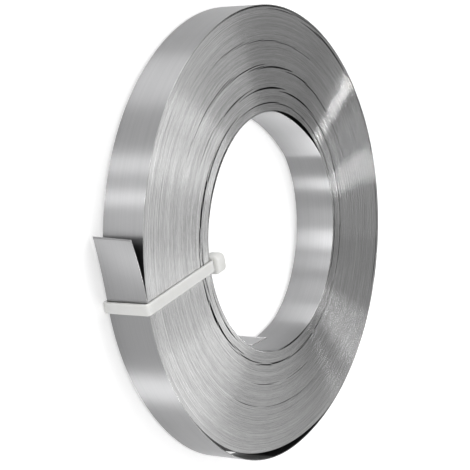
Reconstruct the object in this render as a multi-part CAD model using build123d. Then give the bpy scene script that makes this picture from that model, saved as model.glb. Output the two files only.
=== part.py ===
from build123d import *
import math
import os

# Units: millimetres. The coil lies on its end: its axis is Z, and +Z is up.
# Angles turn from +X towards +Y, as seen from above.

# Steel strip
STRIP_WIDTH = 15.0
STRIP_THICKNESS = 0.3

# Wound coil
COIL_RADIUS = 75.0
BORE_RADIUS = 40.0
TOP_END = STRIP_WIDTH / 2
BOTTOM_END = -STRIP_WIDTH / 2

# Turns that stand a little apart, seen as fine grooves on both ends
GAP_RADII = (43.2, 44.7, 47.9, 51.1, 55.0, 58.4, 64.2, 70.4)
GAP_WIDTH = 0.3
GAP_DEPTH = 0.35

# Loose outer turn, which sags away from the turns under it
SAG_ANGLE = 262.0
SAG_HALF_SPAN = 44.0
SAG_DROP = 1.6

# Turns pressed in above the sag, which opens the gap further
PRESSED_ANGLE = 276.0
PRESSED_HALF_SPAN = 30.0
PRESSED_DEPTH = 1.0

# Outer turn lifted slightly on the far side from the sag
LIFT_ANGLE = 88.0
LIFT_HALF_SPAN = 40.0
LIFT_RISE = 0.6

# Innermost turn, sprung into the bore, with a gap behind it
SPRING_ANGLE = 65.0
SPRING_HALF_SPAN = 30.0
SPRING_RISE = 1.5

# A gap is open over this share of its turn's span
GAP_REACH = 0.85

# How far the first and last turns reach into the turns beside them
OVERLAP = 0.5

# Each bulge or dent of a turn: angle, half span and rise
LIFT = (LIFT_ANGLE, LIFT_HALF_SPAN, LIFT_RISE)
SAG = (SAG_ANGLE, SAG_HALF_SPAN, SAG_DROP)
PRESSED = (PRESSED_ANGLE, PRESSED_HALF_SPAN, -PRESSED_DEPTH)
SPRING = (SPRING_ANGLE, SPRING_HALF_SPAN, -SPRING_RISE)
OUTER_BULGES = (LIFT, SAG)

# Free outer end of the strip, under the tie and curving away from the coil
TAIL_ANGLE = 195.5
TAIL_LENGTH = 22.0
TAIL_BEND_RADIUS = 75.0

# Free inner end of the strip, bent into the bore
INNER_END_ANGLE = 245.0
INNER_END_BEND_RADIUS = 6.0
INNER_END_BEND = 35.0
INNER_END_STRAIGHT = 8.3

# Cable tie: its band loops the ring of turns, a little askew from the radius
TIE_ANGLE = 195.0
TIE_SKEW = 2.9
TIE_WIDTH = 3.6
TIE_THICKNESS = 1.1
TIE_CORNER_RADIUS = 1.0
TIE_CLEARANCE = 0.35

# Tie head, at the top edge of the bore
HEAD_WIDTH = 6.3
HEAD_LENGTH = 6.0
HEAD_HEIGHT = 4.9
HEAD_OVERHANG = 1.9
HEAD_SETBACK = 0.15
HEAD_CORNER_RADIUS = 1.0
HEAD_EDGE_RADIUS = 0.5
WINDOW_CLEARANCE = 0.35
WINDOW_DEPTH = 0.8
STUB_LENGTH = 0.7


def on_circle(radius, angle):
    """Return the point of the middle plane at a radius and an angle."""
    turn = math.radians(angle)
    return (radius * math.cos(turn), radius * math.sin(turn))


def bulge_arcs(radius, offset, bulge):
    """Return three tangent arcs that carry a circle over a bulge or a dent.

    A bulge is its angle, half span and rise. The offset moves all the arcs
    outwards together, so that a turn keeps its thickness.
    """
    angle, half_span, rise = bulge
    bend = math.cos(math.radians(half_span))
    shift = 2 * rise / (1 - bend)
    crown = radius + rise - shift
    flank = (crown**2 - radius**2 - shift**2 + 2 * radius * shift * bend) / (-2 * rise)
    crown_centre = Vector(*on_circle(shift, angle))
    arcs = []
    meets = []
    for side in (-1, 1):
        flank_centre = Vector(*on_circle(radius - flank, angle + side * half_span))
        towards = (crown_centre - flank_centre).normalized() * (1 if rise > 0 else -1)
        meets.append(crown_centre + towards * (crown + offset))
        foot = Vector(*on_circle(radius + offset, angle + side * half_span))
        flank_middle = (foot + meets[-1]) / 2 - flank_centre
        arcs.append(
            ThreePointArc(
                foot, flank_centre + flank_middle.normalized() * (flank + offset), meets[-1]
            )
        )
    top = Vector(*on_circle(radius + rise + offset, angle))
    return [arcs[0], ThreePointArc(meets[0], top, meets[1]), arcs[1]]


def turn_face(radius, offset, bulges):
    """Return the full face inside a turn with bulges, in order of angle."""
    edges = []
    starts = [angle - half_span for angle, half_span, rise in bulges]
    starts.append(starts[0] + 360)
    for index, bulge in enumerate(bulges):
        angle, half_span, rise = bulge
        edges += bulge_arcs(radius, offset, bulge)
        end = angle + half_span
        edges.append(CenterArc((0, 0), radius + offset, end, starts[index + 1] - end))
    return make_face(Curve() + edges)


def sector_face(angle, half_span):
    """Return a wedge from the axis that reaches past the coil."""
    reach = 2 * COIL_RADIUS
    corners = [on_circle(reach, angle + side * half_span) for side in (-1, 1)]
    return make_face(Polyline((0, 0), *corners, close=True))


def across_strip(face):
    """Return a face of the middle plane pushed out over the strip's width."""
    return extrude(face, amount=STRIP_WIDTH / 2, both=True)


def groove_section(radius, end, inward):
    """Return the V section of one groove on one end."""
    half = GAP_WIDTH / 2
    bottom = (radius, end + inward * GAP_DEPTH)
    return make_face(Polyline((radius - half, end), (radius + half, end), bottom, close=True))


def make_turns():
    """Return the round turns between the first and last, with grooved ends."""
    inside = BORE_RADIUS + STRIP_THICKNESS
    depth = COIL_RADIUS - STRIP_THICKNESS - inside
    section = Pos(inside + depth / 2, 0) * Rectangle(depth, STRIP_WIDTH)
    for radius in GAP_RADII:
        section -= groove_section(radius, TOP_END, -1)
        section -= groove_section(radius, BOTTOM_END, 1)
    return revolve(Plane.XZ * section, Axis.Z)


def make_outermost_turn():
    """Return the outermost turn, which follows its own outline."""
    inside = Circle(COIL_RADIUS - STRIP_THICKNESS - OVERLAP)
    return across_strip(turn_face(COIL_RADIUS, 0, OUTER_BULGES) - inside)


def make_innermost_turn():
    """Return the innermost turn, which follows its own outline."""
    outside = Circle(BORE_RADIUS + STRIP_THICKNESS + OVERLAP)
    return across_strip(outside - turn_face(BORE_RADIUS, 0, [SPRING]))


def make_turn_gaps():
    """Return the open gaps beside the loose turns as solids to cut."""
    inside_outermost = turn_face(COIL_RADIUS, -STRIP_THICKNESS, OUTER_BULGES)
    under_outermost = turn_face(COIL_RADIUS, -STRIP_THICKNESS, [PRESSED])
    gaps = []
    for angle, half_span, rise in OUTER_BULGES:
        sector = sector_face(angle, half_span * GAP_REACH)
        gaps.append(sector & inside_outermost - under_outermost)
    behind_innermost = turn_face(BORE_RADIUS, STRIP_THICKNESS, [SPRING])
    beyond = Circle(BORE_RADIUS + STRIP_THICKNESS)
    sector = sector_face(SPRING_ANGLE, SPRING_HALF_SPAN * GAP_REACH)
    gaps.append(sector & beyond - behind_innermost)
    return [across_strip(face) for face in gaps]


def make_tail():
    """Return the free outer end, which leaves the coil on a reverse bend."""
    centre = on_circle(COIL_RADIUS + TAIL_BEND_RADIUS, TAIL_ANGLE)
    start = TAIL_ANGLE - 180
    sweep = math.degrees(TAIL_LENGTH / TAIL_BEND_RADIUS)
    near = CenterArc(centre, TAIL_BEND_RADIUS, start, sweep)
    far = CenterArc(centre, TAIL_BEND_RADIUS + STRIP_THICKNESS, start, sweep)
    ends = [Line(near @ 0, far @ 0), Line(near @ 1, far @ 1)]
    return across_strip(make_face(Curve() + [near, far] + ends))


def make_inner_end():
    """Return the free inner end, which bends away from the bore wall."""
    middle = BORE_RADIUS + STRIP_THICKNESS / 2
    centre = on_circle(middle - INNER_END_BEND_RADIUS, INNER_END_ANGLE)
    bend = CenterArc(centre, INNER_END_BEND_RADIUS, INNER_END_ANGLE, INNER_END_BEND)
    straight = Line(bend @ 1, bend @ 1 + (bend % 1) * INNER_END_STRAIGHT)
    return across_strip(trace(Curve() + [bend, straight], STRIP_THICKNESS))


def make_strip_coil():
    """Return the wound strip as one solid."""
    coil = make_turns() + make_outermost_turn() + make_innermost_turn()
    for gap in make_turn_gaps():
        coil -= gap
    return coil + make_tail() + make_inner_end()


def make_band():
    """Return the tie's loop: X runs towards the bore and Z is up."""
    span = COIL_RADIUS - BORE_RADIUS + 2 * TIE_CLEARANCE
    inside = Rectangle(span, STRIP_WIDTH)
    outside = RectangleRounded(
        span + 2 * TIE_THICKNESS, STRIP_WIDTH + 2 * TIE_THICKNESS, TIE_CORNER_RADIUS
    )
    return extrude(Plane.XZ * (outside - inside), amount=TIE_WIDTH / 2, both=True)


def make_head():
    """Return the tie's head with the trimmed band end in its window."""
    root = (COIL_RADIUS - BORE_RADIUS) / 2 + TIE_CLEARANCE + HEAD_SETBACK
    top = TOP_END + TIE_THICKNESS + HEAD_OVERHANG
    middle = top - HEAD_LENGTH / 2
    block = Pos(root + HEAD_HEIGHT / 2, 0, middle) * Box(HEAD_HEIGHT, HEAD_WIDTH, HEAD_LENGTH)
    block = fillet(block.edges().filter_by(Axis.X), HEAD_CORNER_RADIUS)
    block = fillet(block.faces().sort_by(Axis.X)[-1].edges(), HEAD_EDGE_RADIUS)
    face = root + HEAD_HEIGHT
    band_middle = TOP_END + TIE_THICKNESS / 2
    window = Pos(face - WINDOW_DEPTH / 2, 0, band_middle) * Box(
        WINDOW_DEPTH, TIE_WIDTH + 2 * WINDOW_CLEARANCE, TIE_THICKNESS + 2 * WINDOW_CLEARANCE
    )
    stub_length = WINDOW_DEPTH + STUB_LENGTH
    stub = Pos(face - WINDOW_DEPTH + stub_length / 2, 0, band_middle) * Box(
        stub_length, TIE_WIDTH, TIE_THICKNESS
    )
    return block - window + stub


def make_cable_tie():
    """Return the tie as one solid, seated on the ring of turns."""
    tie = make_band() + make_head()
    middle = on_circle((COIL_RADIUS + BORE_RADIUS) / 2, TIE_ANGLE)
    towards_bore = TIE_ANGLE - 180 + TIE_SKEW
    return Pos(*middle) * Rot(0, 0, towards_bore) * tie


def main():
    os.makedirs("parts", exist_ok=True)
    pieces = {"strip_coil": make_strip_coil(), "cable_tie": make_cable_tie()}
    for name, piece in pieces.items():
        piece.label = name
        export_step(piece, f"parts/{name}.step")


main()
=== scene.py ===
import logging
import math
from dataclasses import dataclass
from enum import Enum
from typing import Any

import bpy
import numpy as np
from bpy.types import Collection, Material, Node, NodeSocket, NodeTree, Object
from mathutils import Matrix, Vector


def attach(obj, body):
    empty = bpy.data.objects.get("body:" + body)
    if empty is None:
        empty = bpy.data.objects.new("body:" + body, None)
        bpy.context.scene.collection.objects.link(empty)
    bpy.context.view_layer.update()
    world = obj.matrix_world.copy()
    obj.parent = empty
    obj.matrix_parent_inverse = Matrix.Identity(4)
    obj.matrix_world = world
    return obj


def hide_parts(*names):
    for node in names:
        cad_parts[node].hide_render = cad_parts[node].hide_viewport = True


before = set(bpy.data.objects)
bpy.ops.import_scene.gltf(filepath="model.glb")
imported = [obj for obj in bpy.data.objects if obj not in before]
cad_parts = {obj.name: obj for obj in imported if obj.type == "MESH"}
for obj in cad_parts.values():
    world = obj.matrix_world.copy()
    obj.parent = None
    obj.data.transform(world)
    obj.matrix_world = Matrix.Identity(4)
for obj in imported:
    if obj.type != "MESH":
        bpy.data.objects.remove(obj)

logging.basicConfig(level=logging.INFO, format="%(message)s")
log = logging.getLogger("steel_coil")

MM = 0.001
FloatArray = np.ndarray
IntArray = np.ndarray


class Side(Enum):
    """Which end of the coil a surface belongs to."""

    TOP = 1
    BOTTOM = -1


class Reach(Enum):
    """What a lamp lights: each low lamp keeps to one part of the coil."""

    EVERYTHING = "everything"
    RIM = "rim_and_tie"
    TAIL = "tail"
    INNER_END = "inner_end"
    ENDS = "ends"
    BORE = "bore"


class Finish(Enum):
    """Material slots of the record."""

    STEEL = "steel_strip"
    NYLON = "nylon_tie"


def linear(hex_colour: str) -> tuple[float, float, float, float]:
    """Turn an sRGB hex colour into linear values.

    Args:
        hex_colour: Colour such as "#B0B0B1".

    Returns:
        Linear red, green, blue and an alpha of 1.
    """
    srgb = np.array([int(hex_colour[i:i + 2], 16) for i in (1, 3, 5)]) / 255
    value = np.where(srgb <= 0.04045, srgb / 12.92, ((srgb + 0.055) / 1.055) ** 2.4)
    return (float(value[0]), float(value[1]), float(value[2]), 1.0)


def add_node(
    tree: NodeTree, kind: str, inputs: dict[Any, Any] | None = None, **settings: Any
) -> Node:
    """Add a shader node with its settings, values and links.

    Args:
        tree: Node tree that gets the node.
        kind: Blender's name for the kind of node, without its "ShaderNode".
        inputs: Value or output socket for each input, by name or number.
        **settings: Value for each property of the node.

    Returns:
        The new node.
    """
    node = tree.nodes.new(f"ShaderNode{kind}")
    for name, value in settings.items():
        setattr(node, name, value)
    for name, value in (inputs or {}).items():
        if isinstance(value, NodeSocket):
            tree.links.new(value, node.inputs[name])
        else:
            node.inputs[name].default_value = value
    return node


def polar(radius: FloatArray, degrees: FloatArray) -> FloatArray:
    """Return X and Y for a radius and an angle, stacked on the last axis."""
    turn = np.radians(degrees)
    return np.stack([radius * np.cos(turn), radius * np.sin(turn)], axis=-1)


def grid_quads(rows: int, columns: int) -> IntArray:
    """Join a grid of points with quads, with the last of each row to its first.

    Args:
        rows: Number of rows.
        columns: Number of points in a row.

    Returns:
        Four point numbers for each quad.
    """
    row, column = np.meshgrid(np.arange(rows - 1), np.arange(columns), indexing="ij")
    after = (column + 1) % columns
    quads = [row * columns + column, (row + 1) * columns + column,
             (row + 1) * columns + after, row * columns + after]
    return np.stack(quads, axis=-1).reshape(-1, 4)


def grid_uv(across: FloatArray, along: FloatArray) -> FloatArray:
    """Return the UV of each quad's corners, in metres on the surface.

    Args:
        across: U at each column, with one more value for the first again.
        along: V at each row.

    Returns:
        One UV pair for each corner, in the order of grid_quads.
    """
    row, column = np.meshgrid(
        np.arange(len(along) - 1), np.arange(len(across) - 1), indexing="ij"
    )
    corners = [(column, row), (column, row + 1), (column + 1, row + 1), (column + 1, row)]
    pairs = [np.stack([across[c], along[r]], axis=-1) for c, r in corners]
    return np.stack(pairs, axis=2).reshape(-1, 2) * MM


def wave(
    wound: FloatArray, radius: FloatArray, along: float, start: float, across: float
) -> FloatArray:
    """Return the sine of an angle that grows with each lap and each mm of radius."""
    return np.sin(wound / 360 * along + start + radius * across)


def between(line: FloatArray, other: FloatArray) -> FloatArray:
    """Return the values at the corners of each quad between two lines of points."""
    return np.stack([line[:-1], line[1:], other[1:], other[:-1]], axis=1)


@dataclass
class Surface:
    """Points in millimetres with their faces, ready to become a piece.

    Attributes:
        points: X, Y and Z of each point.
        quads: Four point numbers for each quad.
        uv: One UV pair for each corner of each quad.
        caps: Further faces of many corners, each a list of point numbers.
        smooth: Whether each quad is shaded smooth; all are if none is given.
        finish: Number of the material of each quad; the first if none is given.
        painted_shade: Painted shade at each corner of each quad, standing in for the dark inside a
            gap, from 0 to 1.
    """

    points: FloatArray
    quads: IntArray
    uv: FloatArray
    caps: list[IntArray]
    smooth: FloatArray | None = None
    finish: IntArray | None = None
    painted_shade: FloatArray | None = None

    def make_piece(self, name: str, slot: Finish, materials: list[Material]) -> Object:
        """Build the Blender object and put it on the body.

        Args:
            name: Name of the piece.
            slot: Material slot of the record; not used.
            materials: Materials by number.

        Returns:
            The new object.
        """
        mesh = bpy.data.meshes.new(name)
        cap_sizes = np.array([len(cap) for cap in self.caps], dtype=int)
        corners = np.concatenate([self.quads.ravel(), *self.caps])
        sizes = np.concatenate([np.full(len(self.quads), 4), cap_sizes])
        starts = np.concatenate([[0], np.cumsum(sizes)[:-1]])
        mesh.vertices.add(len(self.points))
        mesh.vertices.foreach_set("co", (self.points * MM).ravel())
        mesh.loops.add(len(corners))
        mesh.loops.foreach_set("vertex_index", corners.astype(np.int32))
        mesh.polygons.add(len(sizes))
        mesh.polygons.foreach_set("loop_start", starts.astype(np.int32))
        smooth, finish = np.zeros(len(sizes), dtype=bool), np.zeros(len(sizes), dtype=np.int32)
        smooth[: len(self.quads)] = True if self.smooth is None else self.smooth
        finish[: len(self.quads)] = 0 if self.finish is None else self.finish
        mesh.polygons.foreach_set("use_smooth", smooth)
        mesh.polygons.foreach_set("material_index", finish)
        layer = mesh.uv_layers.new(name="strip")
        uv = np.zeros((len(corners), 2))
        uv[: len(self.uv)] = self.uv
        layer.data.foreach_set("uv", uv.ravel())
        # Painted shade for the gaps, kept as a corner attribute for the material.
        if self.painted_shade is not None:
            attribute = mesh.attributes.new("painted_shade", "FLOAT", "CORNER")
            painted_shade = np.zeros(len(corners), dtype=np.float32)
            painted_shade[: self.painted_shade.size] = self.painted_shade.ravel()
            attribute.data.foreach_set("value", painted_shade)
        mesh.update(calc_edges=True)
        mesh.validate()
        for material in materials:
            mesh.materials.append(material)
        piece = bpy.data.objects.new(name, mesh)
        bpy.context.scene.collection.objects.link(piece)
        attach(piece, "root")
        log.info("%s: %d faces", name, len(mesh.polygons))
        return piece


def make_pieces(
    surfaces: dict[str, Surface], slot: Finish, materials: list[Material]
) -> list[Object]:
    """Make a piece of each surface, under its name."""
    return [surface.make_piece(name, slot, materials) for name, surface in surfaces.items()]


def carry_profile(
    path: FloatArray,
    normal: FloatArray,
    binormal: FloatArray,
    profile: FloatArray,
    closed: bool,
) -> Surface:
    """Carry a closed profile along a path.

    Each point is the path's point, plus the profile's first value along the
    normal, plus its second value along the binormal.

    Args:
        path: Points of the path.
        normal: Unit vector beside the path at each point.
        binormal: Unit vector across the path at each point.
        profile: Two values for each point of the profile, turning so that
            normal, binormal and the path's direction are left-handed.
        closed: Whether the path's end joins its start.

    Returns:
        The surface, with caps on the ends of an open path.
    """
    ring = np.concatenate([profile, profile[:1]])
    across = np.concatenate([[0], np.cumsum(np.linalg.norm(np.diff(ring, axis=0), axis=1))])
    if closed:
        path, normal, binormal = (np.concatenate([a, a[:1]]) for a in (path, normal, binormal))
    along = np.concatenate([[0], np.cumsum(np.linalg.norm(np.diff(path, axis=0), axis=1))])
    points = (
        path[:, None]
        + normal[:, None] * profile[None, :, :1]
        + binormal[:, None] * profile[None, :, 1:]
    )
    rows, columns = points.shape[:2]
    quads = grid_quads(rows, columns)
    if closed:
        quads = quads % ((rows - 1) * columns)
        points = points[:-1]
    caps = [] if closed else [np.arange(columns), np.arange(columns)[::-1] + (rows - 1) * columns]
    return Surface(points.reshape(-1, 3), quads, grid_uv(across, along), caps)


def rounded_rectangle(
    half_width: float, half_height: float, radius: float, corner_steps: int, support: float
) -> FloatArray:
    """Return a rectangle with round corners, turning anticlockwise.

    Each corner is a quarter circle, with one more point a little way along
    each side, so that smooth shading keeps the sides flat.

    Args:
        half_width: Half the size along the first axis.
        half_height: Half the size along the second axis.
        radius: Radius of the corners.
        corner_steps: Number of steps in a quarter circle.
        support: Distance from a corner's end to the point beside it.

    Returns:
        Two values for each point.
    """
    quarter = np.linspace(0, 90, corner_steps + 1)
    arc = polar(np.full(len(quarter), radius), quarter)
    arc = np.concatenate([arc[:1] - [0, support], arc, arc[-1:] - [support, 0]])
    inner = np.array([half_width - radius, half_height - radius])
    first = arc + inner
    second = np.stack([-first[:, 0], first[:, 1]], axis=-1)[::-1]
    half = np.concatenate([first, second])
    return np.concatenate([half, -half])


@dataclass(frozen=True)
class Bulge:
    """A stretch of a round turn that three tangent arcs carry out or in.

    Attributes:
        angle: Middle of the stretch, in degrees.
        half_span: Half its length, in degrees.
        rise: How far its middle stands out, or in where negative, in mm.
        circle: Radius of the round turn, in mm.
    """

    angle: float
    half_span: float
    rise: float
    circle: float

    def offset(self, degrees: FloatArray) -> FloatArray:
        """Return how far the arcs stand out of the round turn.

        The crown arc has its centre on the middle line, and each flank arc
        has its centre on the radius to the stretch's end. A ray from the axis
        meets an arc at d cos(a) + sqrt(r^2 - d^2 sin(a)^2), where d and a place
        the arc's centre from the axis and the ray.

        Args:
            degrees: Angles at which the turn is wanted.

        Returns:
            The distance in millimetres at each angle.
        """
        half = math.radians(self.half_span)
        shift = 2 * self.rise / (1 - math.cos(half))
        crown = self.circle + self.rise - shift
        flank = (
            crown**2 - self.circle**2 - shift**2 + 2 * self.circle * shift * math.cos(half)
        ) / (-2 * self.rise)
        reach = self.circle - flank
        foot = np.array([reach * math.cos(half), reach * math.sin(half)])
        towards = (np.array([shift, 0.0]) - foot) * (1 if self.rise > 0 else -1)
        meet = np.array([shift, 0.0]) + towards / np.linalg.norm(towards) * crown
        turn = np.abs(np.radians((degrees - self.angle + 180) % 360 - 180))
        on_crown = shift * np.cos(turn) + np.sqrt(
            np.maximum(crown**2 - (shift * np.sin(turn)) ** 2, 0)
        )
        past = turn - half
        on_flank = reach * np.cos(past) + np.sqrt(
            np.maximum(flank**2 - (reach * np.sin(past)) ** 2, 0)
        )
        crown_end = abs(math.atan2(meet[1], meet[0]))
        radius = np.where(turn < crown_end, on_crown, on_flank)
        return np.where(turn < half, radius - self.circle, 0.0)


@dataclass(frozen=True)
class OpenJoint:
    """A joint between two turns that stands open for part of a lap.

    Attributes:
        start: Angle at which it begins to open, in degrees.
        end: Angle at which it has closed, which may be past 360.
        radii: Its radius at equal steps from start to end, in mm.
        widths: Its width at the same steps, in mm.
        give: Depth of turns over which the push on them dies away, in mm.
        handover: How sharply a climbing run passes from one joint to the next.
    """

    start: float
    end: float
    radii: tuple[float, ...]
    widths: tuple[float, ...]
    give: float = 4.0
    handover: float = 10.0

    def push(self, degrees: FloatArray, joint: FloatArray, pitch: float, side: float) -> FloatArray:
        """Return how far the open joint pushes the turns apart.

        The turns outside the run move out by half its width and those inside
        it move in by as much, and both moves die away as an exponential of the
        distance. At the joint that stands open, the two sides move apart.

        Args:
            degrees: Angle of each place.
            joint: Radius of the joint there, in mm.
            pitch: Distance between joints, in mm.
            side: Half for the turn outside the joint, minus half for the one
                inside it.

        Returns:
            The move outwards, in millimetres.
        """
        knots = np.linspace(self.start, self.end, len(self.radii))
        total = np.zeros_like(joint)
        for lap in (0, 360):
            angle = degrees % 360 + lap
            width = np.interp(angle, knots, self.widths, left=0, right=0)
            away = joint - np.interp(angle, knots, self.radii)
            sign = np.clip(self.handover * (away / pitch + side), -1, 1)
            total += width / 2 * sign * np.exp(-np.abs(away) / self.give)
        return total


@dataclass(frozen=True)
class Winding:
    """How the strip is wound: every length is in millimetres.

    Attributes:
        strip_width: Width of the strip, along the coil's axis.
        strip_thickness: Thickness of the strip.
        coil_radius: Outside radius.
        bore_radius: Radius of the bore.
        tail_angle: Angle at which the outer end leaves the coil.
        inner_end_angle: Angle at which the inner end leaves the bore.
        laps: Number of whole laps from the outer end to the inner end.
        sag: Where the outermost turn hangs clear of the pack, below.
        lift: Where the outermost turn stands up, above.
        lift_share: Share of the lift that the first turn of the pack takes.
        lift_depth: Depth of turns over which that share fades.
        pressed: Where the pack is pressed in, over the sag.
        pressed_depth: Depth of turns over which the dent fades.
        spring: Where the innermost turn has sprung into the bore.
        slack: Where it hangs into the bore, below.
        stand_off: Where it stands off the pack beside the tie.
        drape: Where it stands off the pack on the far side of the bore.
        painted_shade_start: Angle past which shade is painted on the walls of the gap
            over the sag, in degrees.
        painted_gap_darkness: How dark that painted shade is, from 0 to 1.
    """

    strip_width: float = 15.0
    strip_thickness: float = 0.3
    coil_radius: float = 75.0
    bore_radius: float = 40.0
    tail_angle: float = 195.5
    inner_end_angle: float = 245.0
    laps: int = 116
    sag: Bulge = Bulge(262.0, 44.0, 1.6, 75.0)
    lift: Bulge = Bulge(95.0, 46.0, 0.6, 75.0)
    lift_share: float = 0.5
    lift_depth: float = 1.3
    pressed: Bulge = Bulge(276.0, 30.0, -1.0, 75.0)
    pressed_depth: float = 7.0
    spring: Bulge = Bulge(65.0, 30.0, -1.5, 40.0)
    slack: Bulge = Bulge(289.0, 20.0, -0.6, 40.0)
    stand_off: Bulge = Bulge(150.0, 40.0, -0.65, 40.0)
    drape: Bulge = Bulge(352.0, 38.0, -0.35, 40.0)
    painted_shade_start: float = 269.0
    painted_gap_darkness: float = 0.95

    @property
    def sweep(self) -> float:
        """Return the angle wound from the tail to the inner end, in degrees."""
        return self.laps * 360 + self.inner_end_angle - self.tail_angle

    @property
    def pitch(self) -> float:
        """Return the distance between turns."""
        return (self.coil_radius - self.bore_radius) / (self.sweep / 360 + 1)

    def joint_radius(self, wound: FloatArray) -> FloatArray:
        """Return the outside radius of the round spiral, a pitch less for each lap."""
        return self.coil_radius - self.pitch * wound / 360

    def packed_radius(self, wound: FloatArray) -> FloatArray:
        """Return the joint's radius in the pack, pressed in below and lifted above.

        The dent and the lift fade inwards as exponentials of the depth.

        Args:
            wound: Angle wound from the tail, in degrees.

        Returns:
            The radius in millimetres.
        """
        radius, angle = self.joint_radius(wound), wound + self.tail_angle
        depth = self.coil_radius - radius
        dent = np.exp(-depth / self.pressed_depth) * self.pressed.offset(angle)
        lift = self.lift_share * np.exp(-depth / self.lift_depth) * self.lift.offset(angle)
        return radius + dent + lift

    def outermost_radius(self, wound: FloatArray) -> FloatArray:
        """Return the outside radius of the loose outermost turn."""
        angle = wound + self.tail_angle
        return self.joint_radius(wound) + self.sag.offset(angle) + self.lift.offset(angle)

    def gap_painted_shade(self, wound: FloatArray) -> FloatArray:
        """Return the shade painted on the gap's walls, none near the tail."""
        angle = wound + self.tail_angle
        return self.painted_gap_darkness * np.clip(angle - self.painted_shade_start, 0, 1)

    def innermost_radius(self, wound: FloatArray) -> FloatArray:
        """Return the bore radius of the sprung innermost turn.

        It is the round spiral's, with the offset of each bulge added.

        Args:
            wound: Angle wound from the tail, in degrees.

        Returns:
            The radius in millimetres.
        """
        angle = wound + self.tail_angle
        radius = self.joint_radius(wound + 360)
        parts = (self.spring, self.slack, self.stand_off, self.drape)
        return radius + sum(part.offset(angle) for part in parts)


def new_material(name: str) -> Material:
    """Add a material with an empty node tree.

    Args:
        name: What the material is.

    Returns:
        The new material.
    """
    material = bpy.data.materials.new(name)
    material.use_nodes = True
    material.node_tree.nodes.clear()
    return material


@dataclass(frozen=True)
class BrightSteel:
    """Bright steel, with all its fine marks running along the strip.

    It mirrors its surroundings sharply along the strip only, which draws each
    highlight out across it. Shade inside a gap is painted: a near-black colour
    and full roughness where the painted shade is high.

    Attributes:
        colour: Colour of the brightest places.
        dull_colour: Colour of the dullest places.
        roughness: Roughness outside the gaps, from 0 to 1.
        mottle_range: Values of the mottle at the dullest and brightest places.
        full_painted_shade: Painted shade at which the steel is painted black.
        mark_strength: How far the marks tip the surface, from 0 to 1.
        mark_height: Height of the marks, in mm.
        painted_gap_shade_colour: Near-black colour painted inside a gap for its shade.
    """

    colour: str
    dull_colour: str
    roughness: float
    mottle_range: tuple[float, float]
    full_painted_shade: float
    mark_strength: float
    mark_height: float
    painted_gap_shade_colour: str = "#0B0B0C"

    def marks(self, tree: NodeTree, width: float, length: float, detail: float) -> NodeSocket:
        """Add a pattern of marks drawn out along the strip.

        Args:
            tree: Node tree of the material.
            width: Width of a mark, in mm.
            length: Length of a mark, in mm.
            detail: Levels of finer marks inside the marks.

        Returns:
            The pattern's height, from 0 to 1.
        """
        uv = add_node(tree, "UVMap", uv_map="strip")
        scale = (1 / (width * MM), 1 / (length * MM), 1.0)
        place = add_node(tree, "Mapping", {"Vector": uv.outputs["UV"], "Scale": scale})
        noise = add_node(
            tree, "TexNoise",
            {"Vector": place.outputs["Vector"], "Scale": 1.0, "Detail": detail, "Roughness": 0.6},
            noise_dimensions="2D",
        )
        return noise.outputs["Fac"]

    def shade(self, tree: NodeTree, mottle: NodeSocket, marks: NodeSocket) -> None:
        """Add the shader and join the patterns to it.

        Args:
            tree: Node tree of the material.
            mottle: Pattern of the dull and the bright places.
            marks: Height of the marks that tip the surface.
        """
        dullest, brightest = self.mottle_range
        spread = add_node(
            tree, "MapRange", {"Value": mottle, "From Min": dullest, "From Max": brightest}
        )
        colour = add_node(
            tree, "Mix",
            {0: spread.outputs["Result"], 6: linear(self.dull_colour), 7: linear(self.colour)},
            data_type="RGBA",
        )
        # Painted shade: the corner attribute turns the colour towards near black and the roughness
        # up to 1 inside gaps.
        painted_shade = add_node(tree, "Attribute", attribute_name="painted_shade")
        dark = add_node(
            tree, "MapRange", {"Value": painted_shade.outputs["Fac"], "From Max": self.full_painted_shade}
        )
        shaded = add_node(
            tree, "Mix",
            {0: dark.outputs["Result"], 6: colour.outputs[2], 7: linear(self.painted_gap_shade_colour)},
            data_type="RGBA",
        )
        dulled = add_node(
            tree, "MapRange",
            {"Value": dark.outputs["Result"], "To Min": self.roughness, "To Max": 1.0},
        )
        bump = add_node(
            tree, "Bump",
            {"Height": marks, "Strength": self.mark_strength, "Distance": self.mark_height * MM},
        )
        tangent = add_node(tree, "Tangent", direction_type="UV_MAP", uv_map="strip")
        shader = add_node(
            tree, "BsdfPrincipled",
            {
                "Base Color": shaded.outputs[2], "Metallic": 1.0,
                "Roughness": dulled.outputs["Result"], "Anisotropic": 1.0,
                "Normal": bump.outputs["Normal"], "Tangent": tangent.outputs["Tangent"],
            },
        )
        add_node(tree, "OutputMaterial", {"Surface": shader.outputs["BSDF"]})


@dataclass(frozen=True)
class SteelStrip(BrightSteel):
    """Cold-rolled steel strip: its broad faces.

    To the eye it is a satin grey with fine rolling lines along the strip and
    faint patches of oil film. The lines are drawn coarser than real ones,
    which are too fine to show in the picture.

    Attributes:
        line_width: Width of a rolling line, in mm.
        line_length: Length of a rolling line, in mm.
        film_size: Size of the patches of film, in mm.
    """

    colour: str = "#B0B0B1"
    dull_colour: str = "#A8A8A9"
    roughness: float = 0.39
    mottle_range: tuple[float, float] = (0.12, 0.42)
    full_painted_shade: float = 1.0
    mark_strength: float = 0.06
    mark_height: float = 0.04
    line_width: float = 0.5
    line_length: float = 500 / 3
    film_size: float = 200 / 9

    def make(self) -> Material:
        """Build the finish.

        Returns:
            The material of the strip's broad faces.
        """
        material = new_material("cold_rolled_steel")
        tree = material.node_tree
        lines = self.marks(tree, self.line_width, self.line_length, 3.0)
        place = add_node(tree, "TexCoord")
        film = add_node(
            tree, "TexNoise",
            {
                "Vector": place.outputs["Object"], "Scale": 1 / (self.film_size * MM),
                "Detail": 3.0, "Roughness": 0.5,
            },
        )
        mottle = add_node(tree, "Math", {0: lines, 1: film.outputs["Fac"]}, operation="MULTIPLY")
        self.shade(tree, mottle.outputs["Value"], lines)
        return material


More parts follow.
